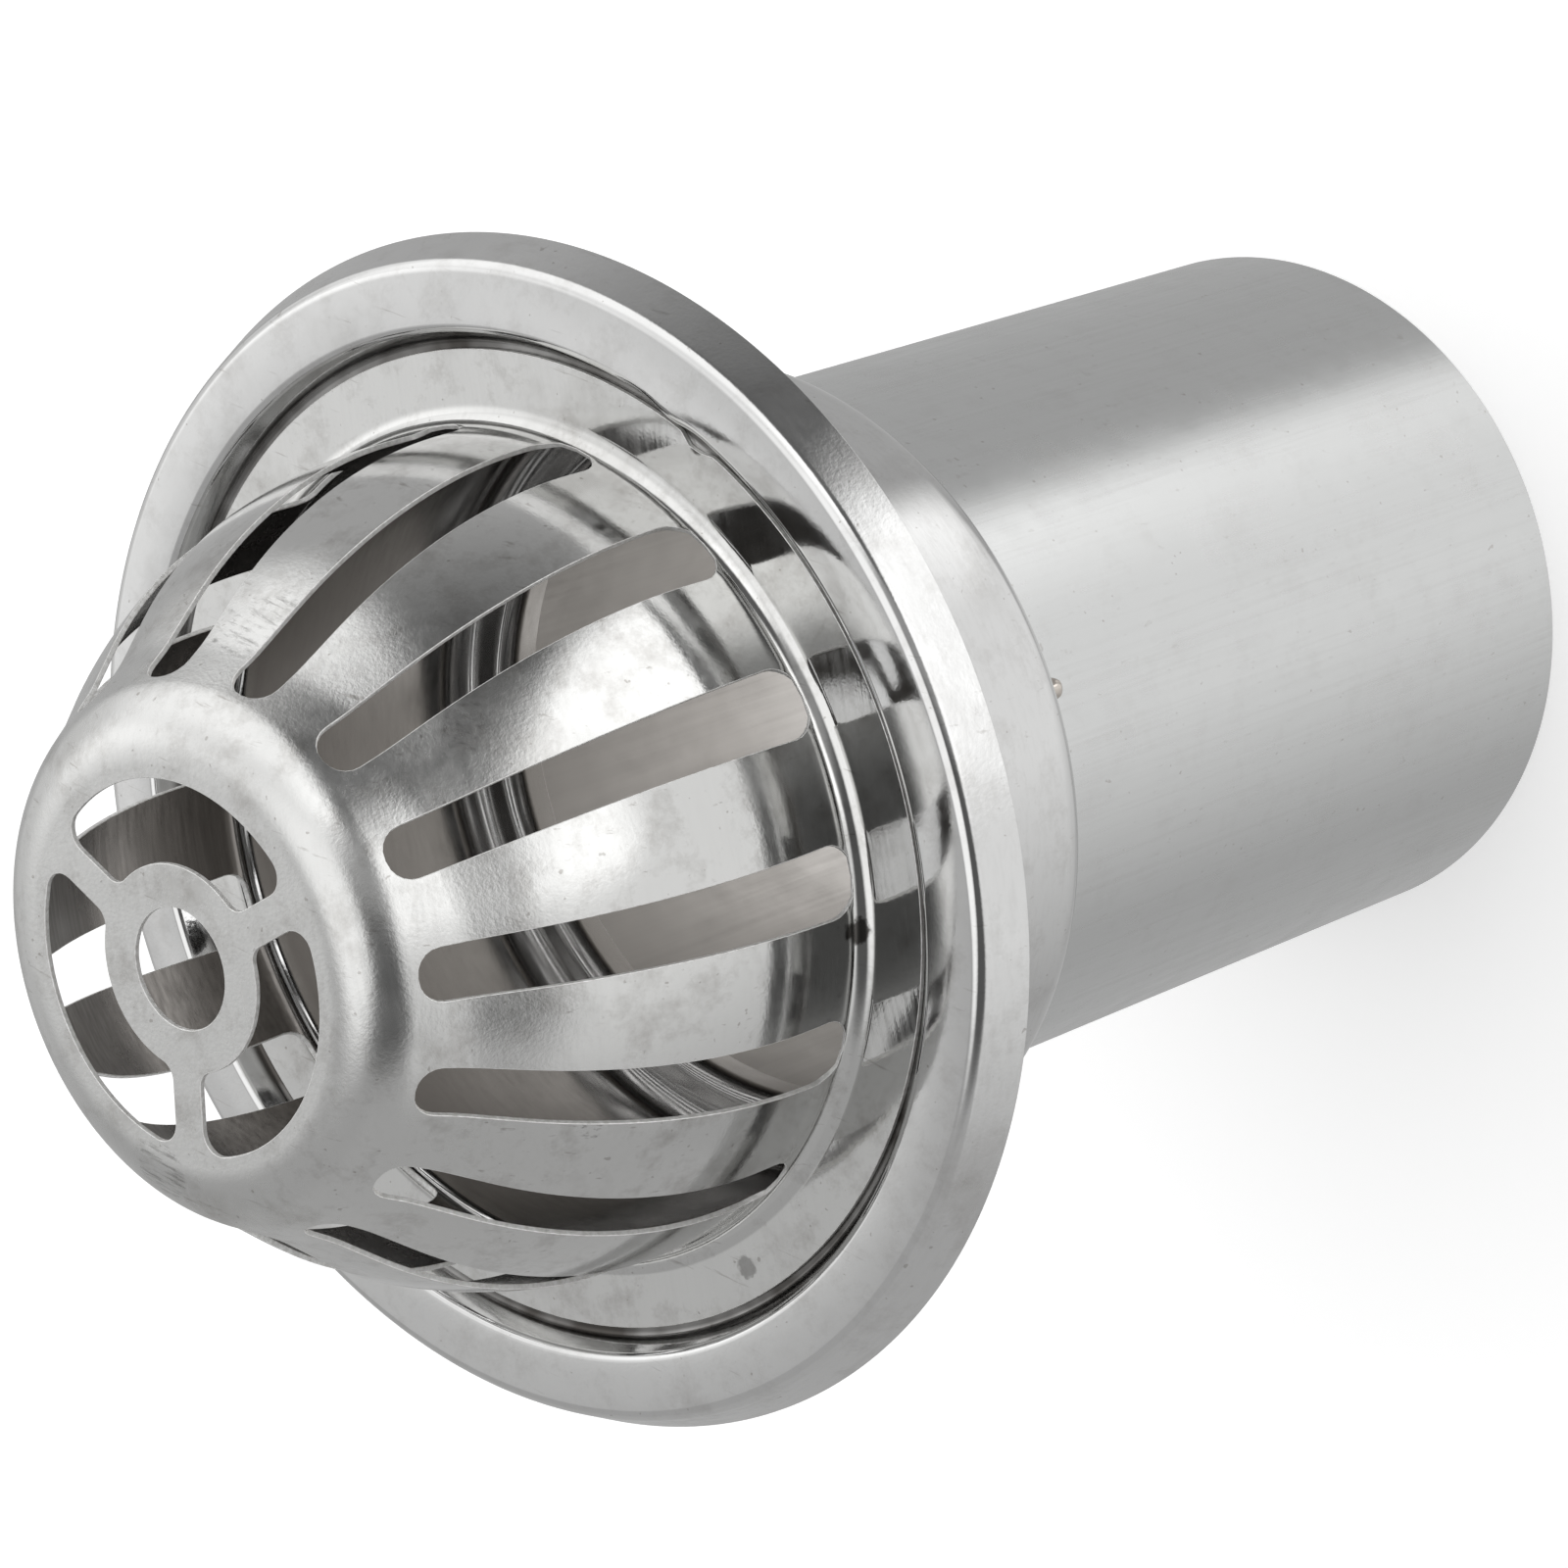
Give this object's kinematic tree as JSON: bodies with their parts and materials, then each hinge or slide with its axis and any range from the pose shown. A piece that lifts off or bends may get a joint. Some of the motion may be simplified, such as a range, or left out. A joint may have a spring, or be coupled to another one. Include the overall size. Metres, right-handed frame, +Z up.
{
  "type": "downspout strainer",
  "caption": "Slotted sheet-metal dome resting in a flanged cup on an outlet tube; keeps leaves out of a rainwater pipe.",
  "frame": {"origin": "centre of the outlet tube's lower end, on the axis", "axes": "+Z up along the common axis, towards the dome's top; +X along one spoke of the dome"},
  "size_m": [0.1142, 0.1142, 0.1603],
  "materials": {
    "dome_sheet": "semi-bright pressed sheet",
    "cup_sheet": "bright pressed sheet",
    "tube_sheet": "satin, grain along the tube",
    "weld_metal": "heat-tinted weld bead"
  },
  "bodies": {
    "root": {"dome_strainer": "dome_sheet", "flanged_cup": "cup_sheet", "outlet_tube": "tube_sheet", "tack_welds": "weld_metal"}
  },
  "joints": []
}
